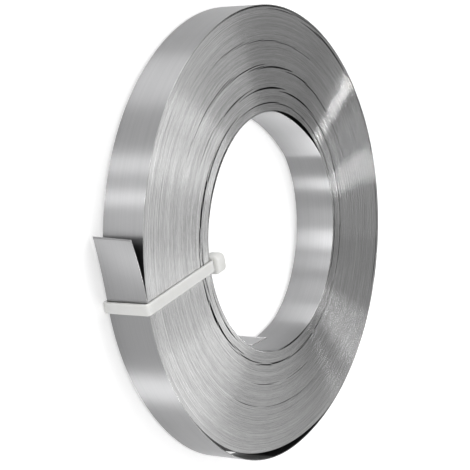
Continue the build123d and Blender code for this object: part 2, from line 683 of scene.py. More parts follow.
@dataclass(frozen=True)
class SlitEdge(BrightSteel):
    """The strip's slit edges, packed side by side into a flat end.

    To the eye the turns are fine rings of unequal brightness, with the short
    burrs that the slitting knives leave. Both are drawn coarser than real
    ones, which are too fine to show.

    Attributes:
        ring_width: Width of a ring, in mm.
        ring_length: Length over which a ring keeps its brightness, in mm.
        burr_width: Width of a burr, in mm.
        burr_length: Length of a burr, in mm.
        burr_share: Share of the burrs in the mottle, beside the rings.
    """

    colour: str = "#E0E0E0"
    dull_colour: str = "#B4B4B4"
    roughness: float = 0.21
    mottle_range: tuple[float, float] = (0.45, 1.05)
    full_painted_shade: float = 0.5
    mark_strength: float = 0.12
    mark_height: float = 0.1
    ring_width: float = 0.9
    ring_length: float = 62.5
    burr_width: float = 0.45
    burr_length: float = 5.0
    burr_share: float = 0.5

    def make(self) -> Material:
        """Build the finish.

        Returns:
            The material of the coil's two ends.
        """
        material = new_material("slit_steel_edges")
        tree = material.node_tree
        rings = self.marks(tree, self.ring_width, self.ring_length, 3.0)
        burrs = self.marks(tree, self.burr_width, self.burr_length, 2.0)
        mottle = add_node(
            tree, "Math", {0: burrs, 1: self.burr_share, 2: rings}, operation="MULTIPLY_ADD"
        )
        self.shade(tree, mottle.outputs["Value"], burrs)
        return material


@dataclass(frozen=True)
class MouldedNylon:
    """Natural white nylon, injection moulded: milky, with a soft satin skin.

    Attributes:
        colour: Colour of the lightest places.
        shade_colour: Colour of the cloudy places.
        roughness: Roughness of the skin, from 0 to 1.
        cloud_size: Size of the clouds inside it, in mm.
        grain_size: Size of the skin's grain, in mm.
        grain_height: Height of that grain, in mm.
        light_depth: How deep light goes into it, in mm.
    """

    colour: str = "#E6E6E4"
    shade_colour: str = "#DCDCD9"
    roughness: float = 0.38
    cloud_size: float = 4.0
    grain_size: float = 0.4
    grain_height: float = 0.05
    light_depth: float = 2.0

    def make(self) -> Material:
        """Build the finish.

        Returns:
            The material of the cable tie.
        """
        material = new_material("moulded_natural_nylon")
        tree = material.node_tree
        place = add_node(tree, "TexCoord")
        clouds, grain = (
            add_node(
                tree, "TexNoise",
                {"Vector": place.outputs["Object"], "Scale": 1 / (size * MM), "Detail": 2.0},
            )
            for size in (self.cloud_size, self.grain_size)
        )
        colour = add_node(
            tree, "Mix",
            {0: clouds.outputs["Fac"], 6: linear(self.shade_colour), 7: linear(self.colour)},
            data_type="RGBA",
        )
        bump = add_node(
            tree, "Bump",
            {"Height": grain.outputs["Fac"], "Strength": 0.15, "Distance": self.grain_height * MM},
        )
        shader = add_node(
            tree, "BsdfPrincipled",
            {
                "Base Color": colour.outputs[2], "Roughness": self.roughness, "IOR": 1.53,
                "Subsurface Weight": 0.8, "Subsurface Radius": (1.0, 1.0, 0.95),
                "Subsurface Scale": self.light_depth * MM, "Normal": bump.outputs["Normal"],
            },
        )
        add_node(tree, "OutputMaterial", {"Surface": shader.outputs["BSDF"]})
        return material


# Each joint that shows as an open line on the ends: start and end angle, radii
# and widths. They are drawn about twice as wide as real ones, which would be
# too fine to show in the picture.
OPEN_JOINTS = tuple(OpenJoint(*row) for row in (
    (121, 192, (43.85, 44.1, 44.1, 44.6, 45.2), (0.1, 0.44, 0.88, 0.76, 0.2)),
    (183, 207, (43.6, 43.8, 43.85, 43.75, 43.55), (0.08, 0.56, 0.6, 0.36, 0.04)),
    (190, 244, (45.2, 44.8, 44.4, 44.1, 43.95), (0.2, 0.6, 1.0, 0.5, 0.16)),
    (230, 260, (44.8, 44.7, 44.55, 44.4, 44.4), (0.04, 0.24, 0.36, 0.28, 0.08)),
    (255, 284, (45.0, 44.75, 44.55, 44.35, 44.35), (0.08, 0.4, 0.48, 0.4, 0.08)),
    (280, 334, (44.7, 44.6, 44.55, 44.6, 44.5), (0.08, 0.44, 0.18, 0.1, 0.04)),
    (338, 378, (45.0, 45.05, 45.1, 45.3, 45.6), (0.04, 0.2, 0.2, 0.08, 0.08)),
    (22, 61, (45.5, 46.1, 46.35, 46.4), (0.04, 0.2, 0.3, 0.04)),
    (56, 87, (46.95, 47.0, 47.05, 47.0), (0.04, 0.52, 0.52, 0.04)),
    (82, 118, (47.85, 47.8, 47.85, 47.9, 47.95), (0.06, 0.6, 0.52, 0.2, 0.04)),
    (105, 137, (48.65, 48.7, 48.8, 48.85, 49.25), (0.04, 0.28, 0.46, 0.32, 0.06)),
    (136, 154, (49.45, 49.65, 49.75, 49.8), (0.06, 0.22, 0.18, 0.04)),
    (330, 372, (40.7, 41.05, 41.2, 41.3), (0.04, 0.4, 0.32, 0.04)),
    (8, 66, (41.5, 41.65, 42.0, 42.35), (0.1, 0.2, 0.16, 0.08)),
    (62, 128, (42.4, 42.8, 43.1, 43.2, 43.35), (0.08, 0.2, 0.34, 0.2, 0.04)),
    (200, 238, (41.5, 41.4, 41.35, 41.4, 41.6), (0.04, 0.4, 0.8, 0.7, 0.04)),
    (238, 253, (40.9, 40.7, 40.6), (0.04, 0.2, 0.04)),
    (44, 82, (53.45, 53.7, 54.1, 54.3), (0.06, 0.2, 0.4, 0.16)),
    (78, 108, (54.8, 54.85, 54.9, 55.0), (0.2, 0.48, 0.4, 0.04)),
    (97, 131, (55.55, 55.7, 55.8, 55.85), (0.12, 0.34, 0.3, 0.04)),
    (118, 155, (56.35, 56.65, 56.8, 57.15), (0.12, 0.28, 0.24, 0.02)),
    (27, 46, (53.3, 53.4, 53.5), (0.02, 0.14, 0.02)),
    (68, 112, (62.75, 63.1, 63.6, 64.1), (0.04, 0.14, 0.2, 0.04)),
    (107, 124, (64.6, 64.7, 64.85), (0.04, 0.22, 0.04)),
    (243, 260, (58.7, 58.75, 58.75), (0.02, 0.2, 0.02)),
    (265, 298, (58.75, 58.7, 58.9, 59.0), (0.04, 0.18, 0.14, 0.02)),
    (254, 273, (51.25, 51.2, 51.1), (0.04, 0.22, 0.04)),
    (279, 296, (51.3, 51.4, 51.45), (0.04, 0.16, 0.04)),
    (46, 76, (73.5, 73.35, 73.2, 73.05), (0.1, 0.42, 0.44, 0.04)),
    (64, 93, (74.35, 74.25, 74.15, 74.05), (0.04, 0.34, 0.36, 0.04)),
    (343, 377, (73.2, 73.3, 73.3, 73.7), (0.04, 0.2, 0.18, 0.04)),
    (22, 51, (73.9, 73.6, 74.3, 74.3), (0.1, 0.12, 0.14, 0.06)),
))


@dataclass
class WoundTurns:
    """All the turns between the outermost and the innermost one.

    Attributes:
        winding: How the strip is wound.
        steps_per_lap: Cross-sections of a turn in one lap.
        joint_depth: Depth of a closed joint's groove, in mm.
        joint_half_width: Half the width of that groove, in mm.
        joint_painted_shade: Shade painted in the groove of a closed joint, from 0 to 1.
        open_joint_depth: Depth of an open joint, in mm.
        dark_opening: Opening past which a joint is painted fully dark and cut to its full depth, in
            mm.
        room: Depth of turns next to the bore and the rim that give way less, in mm.
        edge_scatter: How far the turns' edges stand out of line, in mm.
        edge_lean: How far each edge falls from its middle to its outer side, in mm.
        lean_scatter: How far that fall varies from place to place, in mm.
        lean_wave: The wave in which it varies: radians in a lap, radians at the
            start, and radians for each mm of radius.
        lip: Depth of the grooves next to the outermost and innermost turn, in mm.
        waves: The slow waves of an edge's height, given in the same way.
        ripple_height: Height of the short ripples along an edge, in mm.
        ripples: Waves in a lap, and the depth of turns in mm over which they
            repeat, for each of the ripples.
        scratch_lean: How far the edges' scratches lean off the strip's length,
            in degrees for each mm away from scratch_circle, at the coil's side.
        scratch_circle: Radius at which they run straight along, in mm.
    """

    winding: Winding
    steps_per_lap: int = 256
    joint_depth: float = 0.05
    joint_half_width: float = 0.035
    joint_painted_shade: float = 0.12
    open_joint_depth: float = 3.0
    dark_opening: float = 0.08
    room: float = 1.5
    edge_scatter: float = 0.05
    edge_lean: float = 0.016
    lean_scatter: float = 0.008
    lean_wave: tuple[float, float, float] = (4.4, 0.0, 3.0)
    lip: float = 0.02
    waves: tuple[tuple[float, float, float], ...] = (
        (2.39, 0.0, 0.0), (5.17, 1.0, 0.0), (7.91, 0.0, 1.0),
    )
    ripple_height: float = 0.013
    ripples: tuple[tuple[int, float], ...] = ((23, 1.9), (37, -1.1), (52, 2.7))
    scratch_lean: float = 0.9
    scratch_circle: float = 60.0

    @property
    def last(self) -> int:
        """Return the number of the last cross-section."""
        return round((self.winding.sweep - 720) / 360 * self.steps_per_lap)

    def edge_height(self, wound: FloatArray, radius: FloatArray) -> FloatArray:
        """Return how far an edge stands below the flat end.

        It is a sum of slow waves along the strip, with one more wave from turn
        to turn, so that neighbouring turns stand at slightly unequal heights,
        and of short ripples, which tip a few neighbouring edges together a
        little along their length and break a highlight into dashes.

        Args:
            wound: Angle wound from the tail, in degrees.
            radius: Radius of the joint there, in mm.

        Returns:
            The height, which is nought or less, in millimetres.
        """
        waves = sum(wave(wound, radius, *terms) for terms in self.waves) / len(self.waves)
        ripple = sum(
            np.sin(count * np.radians(wound) + 2 * math.pi * radius / depth)
            for count, depth in self.ripples
        ) / len(self.ripples)
        return -self.edge_scatter * (waves + 1) / 2 - self.ripple_height * (ripple + 1)

    def push(self, wound: FloatArray, side: float) -> FloatArray:
        """Return how far all the open joints move the turn beside a joint.

        The turns next to the bore and the rim have no room to move in or out.

        Args:
            wound: Angle wound from the tail, in degrees.
            side: Half for the turn outside the joint, minus half for the one
                inside it.

        Returns:
            The move outwards, in millimetres.
        """
        winding = self.winding
        angle, joint = wound + winding.tail_angle, winding.packed_radius(wound)
        total = sum(run.push(angle, joint, winding.pitch, side) for run in OPEN_JOINTS)
        inwards = joint - winding.bore_radius - 2 * winding.pitch
        outwards = winding.coil_radius - winding.pitch - joint
        return total * np.clip(np.where(total < 0, inwards, outwards) / self.room, 0, 1)

    def cross_sections(self, wound: FloatArray) -> tuple[FloatArray, FloatArray]:
        """Place the points of the turn's edge at each cross-section.

        The four points are the groove outside the edge, its two shoulders, and
        the groove inside it. A groove lies midway between the places that the
        open joints push its two sides to, and deeper the wider it opens.

        Args:
            wound: Angle wound from the tail, in degrees.

        Returns:
            X, Y and Z of the four points, and how far the outer groove opens, from 0
            to 1, which sets its depth and its painted shade.
        """
        winding = self.winding
        (outer, before, after), (inner, next_before, next_after) = (
            (winding.packed_radius(place), self.push(place, 0.5), self.push(place, -0.5))
            for place in (wound, wound + 360)
        )
        radii = np.stack([
            outer + (before + after) / 2,
            outer + after - self.joint_half_width,
            inner + next_before + self.joint_half_width,
            inner + (next_before + next_after) / 2,
        ], axis=1)
        top = winding.strip_width / 2 + self.edge_height(wound, outer)
        lean = self.edge_lean + self.lean_scatter * wave(wound, outer, *self.lean_wave)
        # Painted shade: the wider a joint opens, the darker it is painted and the deeper its
        # groove.
        dark = np.clip((before - after) / self.dark_opening, 0, 1)
        groove = self.joint_depth + dark * self.open_joint_depth
        groove[:self.steps_per_lap + 1] = self.lip
        heights = np.stack([top - groove, top - lean, top + lean, top - self.lip], axis=1)
        flat = polar(radii, (wound + winding.tail_angle)[:, None])
        return np.concatenate([flat, heights[..., None]], axis=2), dark

    def closing_faces(self, first_out: int, first_in: int) -> tuple[IntArray, list[IntArray]]:
        """Close the half at the middle plane and at the spiral's two ends.

        The middle plane is a ring of quads between the two walls. It has a
        fifth corner at each place where a wall steps over by one turn.

        Args:
            first_out: Number of the outer wall's first point.
            first_in: Number of the inner wall's first point.

        Returns:
            The quads, and the faces with more corners.
        """
        steps, last = self.steps_per_lap, 4 * self.last
        out = first_out + np.arange(steps)
        place = (np.arange(steps) - self.last) % steps
        inner = first_in + place
        ring = np.stack([out, inner, inner + 1, out + 1], axis=1)
        turned = int(np.argmax(place))
        lap_before = last - 4 * steps
        caps = [
            [out[0], out[0] + steps, inner[0], inner[0] + 1, out[1]],
            [out[turned], inner[turned], first_in + steps, first_in, out[turned] + 1],
            [first_out, 0, 1, 2, 4 * steps, first_out + steps],
            [last + 3, last + 2, last + 1, last,
             lap_before + 2, lap_before + 3, first_in, first_in + steps],
        ]
        return np.delete(ring, [0, turned], axis=0), [np.array(cap) for cap in caps]

    def strip_uv(
        self, points: FloatArray, quads: IntArray, at: IntArray, wound: FloatArray
    ) -> FloatArray:
        """Return the UV of the corners on the ends and on the walls.

        U is the radius on an end and the height on a wall. V is the length
        along the strip at its mean radius, leant by the scratches' angle.

        Args:
            points: X, Y and Z of each point.
            quads: Four point numbers for each quad, with the walls' last.
            at: Number of the cross-section at each corner.
            wound: Angle wound from the tail at each cross-section, in degrees.

        Returns:
            One UV pair for each corner.
        """
        winding, walls = self.winding, len(quads) - 2 * self.steps_per_lap
        across = np.hypot(points[quads, 0], points[quads, 1])
        across[walls:] = points[quads[walls:], 2]
        along = (np.radians(wound) * (winding.coil_radius + winding.bore_radius) / 2)[at]
        radius = winding.packed_radius(wound)
        lean = np.radians(self.scratch_lean * (radius - self.scratch_circle))
        lean *= np.sin(np.radians(wound + winding.tail_angle))
        on_edge = np.arange(len(quads))[:, None] < 2 * self.last
        along += np.where(on_edge, lean[at] * (across - radius[at]), 0)
        return np.stack([across, along], axis=2) * MM

    def half(self, side: Side) -> Surface:
        """Build the top or bottom half of the turns, down to the middle plane.

        The groove inside each cross-section is the next lap's outer groove, so
        the laps join into one spiral surface. An outer and an inner wall close
        it.

        Args:
            side: Which end to build.

        Returns:
            The surface, with the ends' edges first and the walls second.
        """
        steps = self.steps_per_lap
        at = np.arange(self.last + 1)
        wound = 360 + at * 360 / steps
        sections, dark = self.cross_sections(wound)
        first_lap, last_lap = slice(steps + 1), slice(-steps - 1, None)
        to_middle = np.array([1, 1, 0])
        wall_out, wall_in = sections[first_lap, 0], sections[last_lap, 3]
        points = np.concatenate([
            sections.reshape(-1, 3), wall_out * to_middle, wall_in * to_middle
        ])
        first_out = 4 * len(at)
        first_in = first_out + steps + 1

        # Painted shade: a little in every closed joint and more in open ones, none on the first
        # lap, dark on the outer wall past the sag, full on the hidden inner wall and middle plane.
        dark = np.maximum(dark, self.joint_painted_shade)
        dark[first_lap] = 0
        groove, outer, inner, lip = (4 * at + point for point in range(4))
        clear, full = np.zeros(len(at)), np.ones(steps + 1)
        rim_painted_shade = self.winding.gap_painted_shade(wound[first_lap] - 360)
        lines = [
            (at, groove, outer, dark),
            (at, outer, inner, clear),
            (at[:-steps], inner[:-steps], groove[steps:], dark[steps:]),
            (at[last_lap], inner[last_lap], lip[last_lap], clear[last_lap]),
            (at[first_lap], first_out + at[first_lap], groove[first_lap], rim_painted_shade),
            (at[last_lap], lip[last_lap], first_in + at[first_lap], full),
        ]
        quads = np.concatenate([between(line, other) for _, line, other, _ in lines])
        at_corner = np.concatenate([between(place, place) for place, *_ in lines])
        painted_shade = np.concatenate([between(shade, shade) for *_, shade in lines])
        uv = self.strip_uv(points, quads, at_corner, wound)
        first_wall = len(quads) - 2 * steps

        closing, caps = self.closing_faces(first_out, first_in)
        quads = np.concatenate([quads, closing])
        uv = np.concatenate([uv, np.zeros((len(closing), 4, 2))])
        painted_shade = np.concatenate([painted_shade, np.ones((len(closing), 4))])
        if side is Side.BOTTOM:
            points[:, 2] *= -1
            quads, uv, painted_shade = quads[:, ::-1], uv[:, ::-1], painted_shade[:, ::-1]
            caps = [cap[::-1] for cap in caps]
        number = np.arange(len(quads)) - first_wall
        walls, rim = ((number >= 0) & (number < count) for count in (2 * steps, steps))
        return Surface(points, quads, uv.reshape(-1, 2), caps, walls, rim, painted_shade)

    def build(self, edges: Material, strip: Material) -> list[Object]:
        """Build the pieces of the top half and the bottom half."""
        halves = {f"wound_turns_{side.name.lower()}": self.half(side) for side in Side}
        return make_pieces(halves, Finish.STEEL, [edges, strip])


@dataclass
class FreeTurn:
    """A single turn of strip with a free end, carried along its own line.

    Attributes:
        winding: How the strip is wound.
        corner_radius: Radius of the strip's edges, in mm.
        support: Distance from a round edge to the point that keeps the broad
            face flat, in mm.
        steps_per_lap: Points of the line in one lap.
    """

    winding: Winding
    corner_radius: float = 0.05
    support: float = 0.02
    steps_per_lap: int = 300

    def solid(
        self,
        line: FloatArray,
        outside: FloatArray,
        inside: FloatArray,
        twist: FloatArray | None = None,
    ) -> Surface:
        """Give the line the strip's section.

        Args:
            line: X and Y of the strip's middle, anticlockwise round the axis.
            outside: Shade painted on the outer side at each point, from 0 to 1.
            inside: Shade painted on the inner side at each point, from 0 to 1.
            twist: How far the top edge turns outwards at each point, in degrees.

        Returns:
            The closed surface of the strip.
        """
        direction = np.gradient(line, axis=0)
        direction /= np.linalg.norm(direction, axis=1, keepdims=True)
        outward = np.stack([direction[:, 1], -direction[:, 0]], axis=1)
        zero = np.zeros((len(line), 1))
        path = np.concatenate([line, zero], axis=1)
        turn = np.radians(np.zeros(len(line)) if twist is None else twist)[:, None]
        normal = np.concatenate([outward * np.cos(turn), -np.sin(turn)], axis=1)
        binormal = np.concatenate([outward * np.sin(turn), np.cos(turn)], axis=1)
        half_width = self.winding.strip_width / 2
        profile = rounded_rectangle(
            self.winding.strip_thickness / 2, half_width, self.corner_radius,
            corner_steps=2, support=self.support,
        )
        surface = carry_profile(path, normal, binormal, profile, closed=False)
        side_end = half_width - self.corner_radius - self.support / 2
        on_side = np.abs(profile[:, 1]) < side_end
        # Painted shade goes on the broad sides only, not on the edges.
        side = np.where(profile[:, 0] > 0, outside[:, None], inside[:, None])
        surface.painted_shade = np.where(on_side, side, 0).ravel()[surface.quads]
        edge = ~on_side & ~np.roll(on_side, -1)
        surface.finish = np.tile(edge, len(line) - 1)
        return surface

    def surfaces(self) -> dict[str, Surface]:
        """Return the turn's lap and its free end, by the names of their pieces."""
        raise NotImplementedError

    def build(self, strip: Material, edges: Material) -> list[Object]:
        """Build the pieces of the lap and of the free end."""
        return make_pieces(self.surfaces(), Finish.STEEL, [strip, edges])


@dataclass
class OutermostTurn(FreeTurn):
    """The loose outermost turn and the free tail, a piece each.

    Attributes:
        tail_length: Length of the free outer end, in mm.
        tail_bend_radius: Radius on which it curves away, in mm.
        tail_twist: How far it has twisted at its tip, in degrees.
        tail_steps: Points of the line along the tail.
        wedge_span: Angle of rim behind the tail painted dark as the tail's shadow, in degrees.
        wedge_fade: Angle past that over which the painted shadow fades out, in degrees.
        wedge_painted_shadow: How dark the painted shadow is, also on the tail's inner side,
            from 0 to 1.
    """

    tail_length: float = 22.4
    tail_bend_radius: float = 120.0
    tail_twist: float = 5.0
    tail_steps: int = 40
    wedge_span: float = 14.0
    wedge_fade: float = 3.0
    wedge_painted_shadow: float = 0.9

    def tail_line(self) -> FloatArray:
        """Return the line of the tail: an arc the other way that ends on the rim.

        Returns:
            X and Y of the strip's middle, from the tip.
        """
        winding = self.winding
        away = winding.coil_radius + self.tail_bend_radius
        centre = polar(np.array(away), np.array(winding.tail_angle))
        sweep = math.degrees(self.tail_length / self.tail_bend_radius)
        start = winding.tail_angle - 180
        return centre + polar(
            np.full(self.tail_steps, self.tail_bend_radius + winding.strip_thickness / 2),
            np.linspace(start + sweep, start, self.tail_steps),
        )

    def surfaces(self) -> dict[str, Surface]:
        """Shape the lap and the tail, which meet under the tie's band.

        Shadow is painted on the rim in the wedge of space behind the tail and on the
        tail's inner side, and shade on the walls of the gap inside the loose turn.

        Returns:
            The two surfaces, by the names of their pieces.
        """
        winding = self.winding
        wound = np.linspace(0, 360, self.steps_per_lap + 1)
        middle = winding.outermost_radius(wound) - winding.strip_thickness / 2
        # Painted shadow of the tail on the rim, fading out past the wedge; painted shade on the
        # inner side in the gap over the sag.
        lit = np.clip((360 - wound - self.wedge_span) / self.wedge_fade, 0, 1)
        line = polar(middle, wound + winding.tail_angle)
        lap = self.solid(line, self.wedge_painted_shadow * (1 - lit), winding.gap_painted_shade(wound))
        steps = self.tail_steps
        twist = np.linspace(1, 0, steps) ** 2 * self.tail_twist
        # Painted shadow on the tail's inner side, which faces the rim.
        behind = np.full(steps, self.wedge_painted_shadow)
        tail = self.solid(self.tail_line(), np.zeros(steps), behind, twist)
        return {"outermost_turn": lap, "free_tail": tail}


@dataclass
class InnermostTurn(FreeTurn):
    """The sprung innermost turn and the bent inner end, a piece each.

    Attributes:
        bend_radius: Radius of the bend at the inner end, in mm.
        bend: Angle of that bend, in degrees.
        straight: Length of the straight past the bend, in mm.
        bend_steps: Points of the line round the bend.
        straight_steps: Points of the line along the straight.
        pack_painted_shade: Shade painted on the side against the pack, from 0 to 1.
        bend_painted_shade: Shade painted on that side where the bend begins, from 0 to 1.
    """

    bend_radius: float = 6.0
    bend: float = 35.0
    straight: float = 8.3
    bend_steps: int = 20
    straight_steps: int = 11
    pack_painted_shade: float = 0.95
    bend_painted_shade: float = 0.9

    def end_line(self) -> FloatArray:
        """Return the line of the inner end: the bend and the straight.

        Returns:
            X and Y of the strip's middle, from the bend.
        """
        winding = self.winding
        middle = np.array(winding.bore_radius + winding.strip_thickness / 2 - self.bend_radius)
        start = winding.inner_end_angle
        bend = polar(middle, np.array(start)) + polar(
            np.full(self.bend_steps, self.bend_radius),
            np.linspace(start, start + self.bend, self.bend_steps),
        )
        ahead = polar(np.array(1.0), np.array(start + self.bend + 90))
        run = bend[-1] + ahead * np.linspace(0, self.straight, self.straight_steps + 1)[1:, None]
        return np.concatenate([bend, run])

    def surfaces(self) -> dict[str, Surface]:
        """Shape the lap and the inner end, which meet where the bend begins.

        Shade is painted on the side that lies against the pack, fading out round the bend.

        Returns:
            The two surfaces, by the names of their pieces.
        """
        winding = self.winding
        wound = np.linspace(winding.sweep - 360, winding.sweep, self.steps_per_lap + 1)
        middle = winding.innermost_radius(wound) + winding.strip_thickness / 2
        # Painted shade on the side against the pack; the side facing the bore has none.
        against_pack, in_bore = np.full(len(wound), self.pack_painted_shade), np.zeros(len(wound))
        lap = self.solid(polar(middle, wound + winding.tail_angle), against_pack, in_bore)
        round_bend = np.linspace(self.bend_painted_shade, 0, self.bend_steps)
        outside = np.concatenate([round_bend, np.zeros(self.straight_steps)])
        end = self.solid(self.end_line(), outside, np.zeros(len(outside)))
        return {"innermost_turn": lap, "inner_end": end}


@dataclass
class CableTie:
    """The nylon cable tie, looped round the section of the ring.

    In its own axes, X runs from the rim to the bore, Y across the band and Z
    up. All lengths are in millimetres.

    Attributes:
        winding: How the strip is wound.
        angle: Where on the coil it is, in degrees.
        skew: How far it is turned off the radius, in degrees.
        width: Width of the band.
        thickness: Thickness of the band.
        clearance: Space left between the band and the rim or the bore.
        corner_radius: Radius of the band's middle line at the ring's corners.
        band_edge: Radius of the band's own edges.
        head_width: Width of the head.
        head_length: Length of the head, along the coil's axis.
        head_height: How far the head's face stands from its back.
        head_overhang: How far the head stands above the band.
        head_setback: Space between the band's line on the bore and the head.
        head_back: Radius of the edge round the head's back.
        head_front: Radius of the edge round the head's face.
        head_corner: Radius of the head's four corners.
        window_clearance: Space round the band in the head's window.
        window_rings: Rings from the window's rim to its floor: depth, distance
            outside the window, and corner radius of each.
        stub_length: How far the band's trimmed end stands out of the head.
        stub_stations: Places along that end, from the head's face.
    """

    winding: Winding
    angle: float = 195.0
    skew: float = 2.9
    width: float = 3.6
    thickness: float = 1.1
    clearance: float = 0.35
    corner_radius: float = 0.75
    band_edge: float = 0.3
    head_width: float = 6.3
    head_length: float = 6.0
    head_height: float = 4.9
    head_overhang: float = 1.6
    head_setback: float = 0.15
    head_back: float = 0.8
    head_front: float = 1.1
    head_corner: float = 1.8
    window_clearance: float = 0.35
    window_rings: tuple[tuple[float, float, float], ...] = (
        (0.0, 0.12, 0.3), (0.05, 0.03, 0.25), (0.15, 0.0, 0.22), (1.6, 0.0, 0.22),
    )
    stub_length: float = 0.7
    stub_stations: tuple[float, ...] = (-1.5, -0.8, 0.0, 0.3, 0.55)

    @property
    def section(self) -> FloatArray:
        """Return the band's cross-section."""
        return rounded_rectangle(
            self.thickness / 2, self.width / 2, self.band_edge, corner_steps=4, support=0.05
        )

    @property
    def bore_side(self) -> float:
        """Return X of the band's inner face on the bore."""
        return (self.winding.coil_radius - self.winding.bore_radius) / 2 + self.clearance

    @property
    def head_root(self) -> float:
        """Return X of the head's back."""
        return self.bore_side + self.head_setback

    @property
    def band_line(self) -> float:
        """Return Z of the middle of the band's upper run."""
        return self.winding.strip_width / 2 + self.thickness / 2

    def place(self, points: FloatArray) -> FloatArray:
        """Turn and move points from the tie's own axes to the coil's.

        Args:
            points: X, Y and Z of each point in the tie's own axes.

        Returns:
            X, Y and Z of each point in the coil's axes.
        """
        turn = math.radians(self.angle - 180 + self.skew)
        middle = polar(
            np.array((self.winding.coil_radius + self.winding.bore_radius) / 2),
            np.array(self.angle),
        )
        x = points[..., 0] * math.cos(turn) - points[..., 1] * math.sin(turn) + middle[0]
        y = points[..., 0] * math.sin(turn) + points[..., 1] * math.cos(turn) + middle[1]
        return np.stack([x, y, points[..., 2]], axis=-1)

    def band(self) -> Surface:
        """Carry the band's section round a rounded rectangle.

        Its long sides are cut into steps of about a millimetre.

        Returns:
            The surface of the band.
        """
        half_x = self.bore_side + self.thickness / 2
        loop = rounded_rectangle(
            half_x, self.band_line, self.corner_radius, corner_steps=8, support=0.4
        )
        gaps = np.linalg.norm(np.roll(loop, -1, axis=0) - loop, axis=1)
        loop = np.concatenate([
            start + (end - start) * np.linspace(0, 1, max(1, int(gap)), endpoint=False)[:, None]
            for start, end, gap in zip(loop, np.roll(loop, -1, axis=0), gaps)
        ])
        direction = np.roll(loop, -1, axis=0) - np.roll(loop, 1, axis=0)
        direction /= np.linalg.norm(direction, axis=1, keepdims=True)
        zero = np.zeros(len(loop))
        path = np.stack([loop[:, 0], zero, loop[:, 1]], axis=1)
        normal = np.stack([direction[:, 1], zero, -direction[:, 0]], axis=1)
        binormal = np.tile([0.0, -1.0, 0.0], (len(loop), 1))
        surface = carry_profile(path, normal, binormal, self.section, closed=True)
        surface.points = self.place(surface.points)
        return surface

    def head_ring(
        self, x: float, half_width: float, half_length: float, radius: float, z: float
    ) -> FloatArray:
        """Return one rounded rectangle of the head.

        Args:
            x: Its place along X.
            half_width: Half its size along Y.
            half_length: Half its size along Z.
            radius: Radius of its corners.
            z: Height of its middle.

        Returns:
            X, Y and Z of each point.
        """
        ring = rounded_rectangle(half_width, half_length, radius, corner_steps=6, support=0.02)
        return np.concatenate([np.full((len(ring), 1), x), ring + [0.0, z]], axis=1)

    def head(self) -> Surface:
        """Build the head from rounded rectangles, from its back to its window.

        The rectangles grow round the back edge, run to the front, shrink round
        the front edge to the window, and go down into it.

        Returns:
            The surface of the head.
        """
        face = self.head_root + self.head_height
        top = self.band_line + self.thickness / 2 + self.head_overhang
        middle = top - self.head_length / 2
        half_w, half_l = self.head_width / 2, self.head_length / 2
        back, front, corner = self.head_back, self.head_front, self.head_corner
        insets = [
            (self.head_root + back * (1 - math.cos(turn)), back * (1 - math.sin(turn)))
            for turn in np.linspace(0, math.pi / 2, 5)
        ] + [
            (face - front * (1 - math.sin(turn)), front * (1 - math.cos(turn)))
            for turn in np.linspace(0, math.pi / 2, 7)
        ]
        loops = [
            self.head_ring(x, half_w - inset, half_l - inset, corner - inset, middle)
            for x, inset in insets
        ]
        for depth, outside, radius in self.window_rings:
            wide = self.width / 2 + self.window_clearance + outside
            long = self.thickness / 2 + self.window_clearance + outside
            loops.append(self.head_ring(face - depth, wide, long, radius, self.band_line))
        points = np.stack(loops)
        rows, columns = points.shape[:2]
        quads = grid_quads(rows, columns)[:, ::-1]
        caps = [np.arange(columns)[::-1], np.arange(columns) + (rows - 1) * columns]
        uv = np.zeros((len(quads) * 4, 2))
        return Surface(self.place(points.reshape(-1, 3)), quads, uv, caps)

    def stub(self) -> Surface:
        """Build the band's trimmed end, which stands out of the window.

        Returns:
            The surface of the end.
        """
        x = np.array([*self.stub_stations, self.stub_length])
        x += self.head_root + self.head_height
        path = np.stack([x, np.zeros(len(x)), np.full(len(x), self.band_line)], axis=1)
        normal = np.tile([0.0, 0.0, 1.0], (len(x), 1))
        binormal = np.tile([0.0, 1.0, 0.0], (len(x), 1))
        surface = carry_profile(path, normal, binormal, self.section, closed=False)
        surface.points = self.place(surface.points)
        return surface

    def build(self, nylon: Material) -> list[Object]:
        """Build the pieces of the band, the head and the trimmed end."""
        parts = {"tie_band": self.band(), "tie_head": self.head(), "tie_band_end": self.stub()}
        return make_pieces(parts, Finish.NYLON, [nylon])


@dataclass(frozen=True)
class Softboxes:
    """A group of rectangular studio lamps that face the coil.

    Attributes:
        name: Name of the group.
        reach: What their light falls on.
        elevation: Height above the floor, in degrees.
        distance: Distance from the coil, in metres.
        height: Height of each lamp, in metres.
        lamps: For each lamp its direction from the coil, in degrees from +X
            towards +Y, its width in metres, and the brightness of its face,
            where 1 shows as white.
    """

    name: str
    reach: Reach
    elevation: float
    distance: float
    height: float
    lamps: tuple[tuple[float, float, float], ...]

    def build(self, lit: dict[Reach, Collection]) -> None:
        """Build the lamps.

        Args:
            lit: What a lamp of each limited reach lights.
        """
        rise = math.radians(self.elevation)
        for azimuth, width, brightness in self.lamps:
            data = bpy.data.lights.new(self.name, "AREA")
            data.shape = "RECTANGLE"
            data.size, data.size_y = width, self.height
            data.energy = math.pi * width * self.height * brightness
            turn = math.radians(azimuth)
            direction = Vector((
                math.cos(turn) * math.cos(rise), math.sin(turn) * math.cos(rise), math.sin(rise)
            ))
            lamp = bpy.data.objects.new(self.name, data)
            lamp.location = direction * self.distance
            lamp.rotation_euler = direction.to_track_quat("Z", "Y").to_euler()
            bpy.context.scene.collection.objects.link(lamp)
            if self.reach in lit:
                lamp.light_linking.receiver_collection = lit[self.reach]


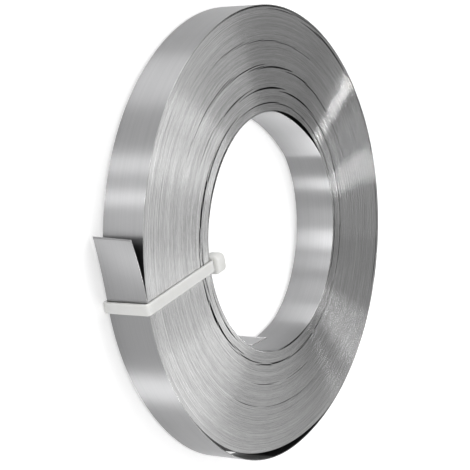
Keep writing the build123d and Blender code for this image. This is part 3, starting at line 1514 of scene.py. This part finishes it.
@dataclass
class Studio:
    """The pale floor, the lamps, the world and the camera.

    The strips low round the coil give the rim and the bore their light and
    dark bands. The boxes give the ends their broad shades, and the far spots
    behind it give them their bright streaks.

    Attributes:
        floor_height: Z of the floor, in mm.
        floor_size: Length of its sides, in metres.
        floor_colour: Colour of its paper.
        floor_glow: Brightness that lifts it towards white.
        world_colour: Colour of the room.
        world_strength: Brightness of the room.
        camera_place: Where the camera is, in mm.
        camera_aim: What it looks at, in mm.
        lens: Focal length, in mm.
        sensor: Width of the camera's sensor, in mm.
        nearest: Nearest distance that the camera sees, in metres.
        lamps: The lamps, in groups.
    """

    floor_height: float = -8.6
    floor_size: float = 6.0
    floor_colour: str = "#F2F2F2"
    floor_glow: float = 0.5
    world_colour: str = "#FFFFFF"
    world_strength: float = 0.24
    camera_place: tuple[float, float, float] = (-443.6, 24.85, 277.1)
    camera_aim: tuple[float, float, float] = (-12.98, -0.91, 0.0)
    lens: float = 118.7
    sensor: float = 36.0
    nearest: float = 0.01
    lamps: tuple[Softboxes, ...] = (
        Softboxes("rim_strip", Reach.RIM, 11.0, 0.9, 0.3, (
            (107.0, 0.44, 3.6), (149.5, 0.11, 11.0), (164.4, 0.06, 20.91), (176.0, 0.12, 3.54),
            (253.5, 0.22, 9.5), (319.4, 0.35, 1.6),
        )),
        Softboxes("tail_strip", Reach.TAIL, 11.0, 0.9, 0.3, ((224.0, 0.12, 7.5),)),
        Softboxes("bore_strip", Reach.BORE, 11.0, 0.9, 0.3, (
            (89.4, 0.5, 5.64), (125.0, 0.3, 3.0), (150.0, 0.2, 5.6), (170.5, 0.26, 12.5),
            (191.0, 0.2, 3.0), (223.0, 0.18, 13.32), (276.0, 0.4, 9.0), (305.0, 0.5, 5.6),
        )),
        Softboxes("inner_end_strip", Reach.INNER_END, 14.0, 0.9, 0.3, ((28.0, 0.25, 10.0),)),
        Softboxes("low_box", Reach.EVERYTHING, 20.0, 0.9, 0.5, ((-42.0, 0.2, 0.08),)),
        Softboxes("back_box", Reach.EVERYTHING, 25.0, 1.0, 0.36, (
            (-30.0, 0.5, 0.47), (30.0, 0.5, 0.16),
        )),
        Softboxes("tall_box", Reach.EVERYTHING, 46.0, 1.0, 0.38, (
            (-60.0, 0.5, 1.4), (-30.0, 0.5, 0.78), (34.0, 0.55, 0.61),
        )),
        Softboxes("high_box", Reach.EVERYTHING, 66.0, 1.0, 0.36, (
            (-60.0, 0.4, 1.2), (60.0, 0.4, 3.1), (0.0, 0.4, 0.88), (30.0, 0.4, 0.25),
            (-30.0, 0.4, 0.1),
        )),
        Softboxes("side_box", Reach.EVERYTHING, 45.0, 1.0, 0.45, ((92.0, 0.45, 1.9),)),
        Softboxes("overhead", Reach.EVERYTHING, 84.0, 1.0, 0.7, ((180.0, 0.7, 1.31),)),
        Softboxes("far_spot", Reach.ENDS, 5.5, 3.0, 0.24, (
            (9.2, 0.06, 48.0), (2.1, 0.12, 20.0), (-11.2, 0.22, 6.5), (-16.2, 0.08, 7.0),
            (5.0, 0.22, 6.0), (-1.0, 0.25, 2.0),
        )),
    )

    def floor_material(self) -> Material:
        """Build matt white paper, lifted a little towards white for the eye.

        The lift shows to camera, glossy and transmission rays alike, so the
        steel mirrors the floor that the picture shows.

        Returns:
            The material of the floor.
        """
        material = new_material("matt_white_paper")
        tree = material.node_tree
        paper = add_node(
            tree, "BsdfPrincipled",
            {"Base Color": linear(self.floor_colour), "Roughness": 0.9, "Specular IOR Level": 0.0},
        )
        rays = add_node(tree, "LightPath")
        seen = rays.outputs["Is Camera Ray"]
        for kind in ("Is Glossy Ray", "Is Transmission Ray"):
            either = add_node(tree, "Math", {0: seen, 1: rays.outputs[kind]}, operation="MAXIMUM")
            seen = either.outputs["Value"]
        strength = add_node(tree, "Math", {0: seen, 1: self.floor_glow}, operation="MULTIPLY")
        glow = add_node(
            tree, "Emission", {"Color": linear("#FFFFFF"), "Strength": strength.outputs["Value"]}
        )
        total = add_node(tree, "AddShader", {0: paper.outputs["BSDF"], 1: glow.outputs["Emission"]})
        add_node(tree, "OutputMaterial", {"Surface": total.outputs["Shader"]})
        return material

    def build_floor(self) -> Object:
        """Build the floor.

        Returns:
            The floor.
        """
        half = self.floor_size / 2
        z = self.floor_height * MM
        mesh = bpy.data.meshes.new("floor")
        corners = [(-half, -half, z), (half, -half, z), (half, half, z), (-half, half, z)]
        mesh.from_pydata(corners, [], [(0, 1, 2, 3)])
        mesh.materials.append(self.floor_material())
        floor = bpy.data.objects.new("floor", mesh)
        bpy.context.scene.collection.objects.link(floor)
        return floor

    def build_world(self) -> None:
        """Light the room evenly."""
        world = bpy.data.worlds.new("studio_room")
        world.use_nodes = True
        tree = world.node_tree
        tree.nodes.clear()
        room = add_node(
            tree, "Background",
            {"Color": linear(self.world_colour), "Strength": self.world_strength},
        )
        add_node(tree, "OutputWorld", {"Surface": room.outputs["Background"]})
        bpy.context.scene.world = world

    def build_camera(self) -> Object:
        """Build the camera at the photograph's viewing angle.

        The coil lies on its end, so the picture's up is +Y.

        Returns:
            The camera.
        """
        data = bpy.data.cameras.new("camera")
        data.sensor_width, data.lens, data.clip_start = self.sensor, self.lens, self.nearest
        place, aim = Vector(self.camera_place) * MM, Vector(self.camera_aim) * MM
        ahead = (aim - place).normalized()
        right = ahead.cross(Vector((0.0, 1.0, 0.0))).normalized()
        up = right.cross(ahead)
        turn = Matrix((right, up, -ahead)).transposed()
        camera = bpy.data.objects.new("camera", data)
        camera.matrix_world = Matrix.Translation(place) @ turn.to_4x4()
        bpy.context.scene.collection.objects.link(camera)
        bpy.context.scene.camera = camera
        return camera

    def build(self, reached: dict[Reach, list[Object]]) -> None:
        """Build the whole studio.

        Args:
            reached: Pieces that the lamps of each limited reach light.
        """
        bpy.context.scene.view_settings.view_transform = "Standard"
        self.build_floor()
        lit = {reach: bpy.data.collections.new(f"lit_{reach.value}") for reach in reached}
        for reach, pieces in reached.items():
            for piece in pieces:
                lit[reach].objects.link(piece)
        self.build_world()
        for group in self.lamps:
            group.build(lit)
        self.build_camera()


def main() -> None:
    """Build the coil, the tie and the studio."""
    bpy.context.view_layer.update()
    winding = Winding()
    strip, edges, nylon = SteelStrip().make(), SlitEdge().make(), MouldedNylon().make()
    turns = WoundTurns(winding).build(edges, strip)
    outermost, tail = OutermostTurn(winding).build(strip, edges)
    innermost, inner_end = InnermostTurn(winding).build(strip, edges)
    tie = CableTie(winding).build(nylon)
    for piece in [*turns, outermost, tail, innermost, inner_end]:
        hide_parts("strip_coil")
    for piece in tie:
        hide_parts("cable_tie")
    Studio().build({
        Reach.RIM: [outermost, *tie], Reach.TAIL: [tail], Reach.BORE: [innermost],
        Reach.INNER_END: [inner_end], Reach.ENDS: [*turns, innermost],
    })


if __name__ == "__main__":
    main()
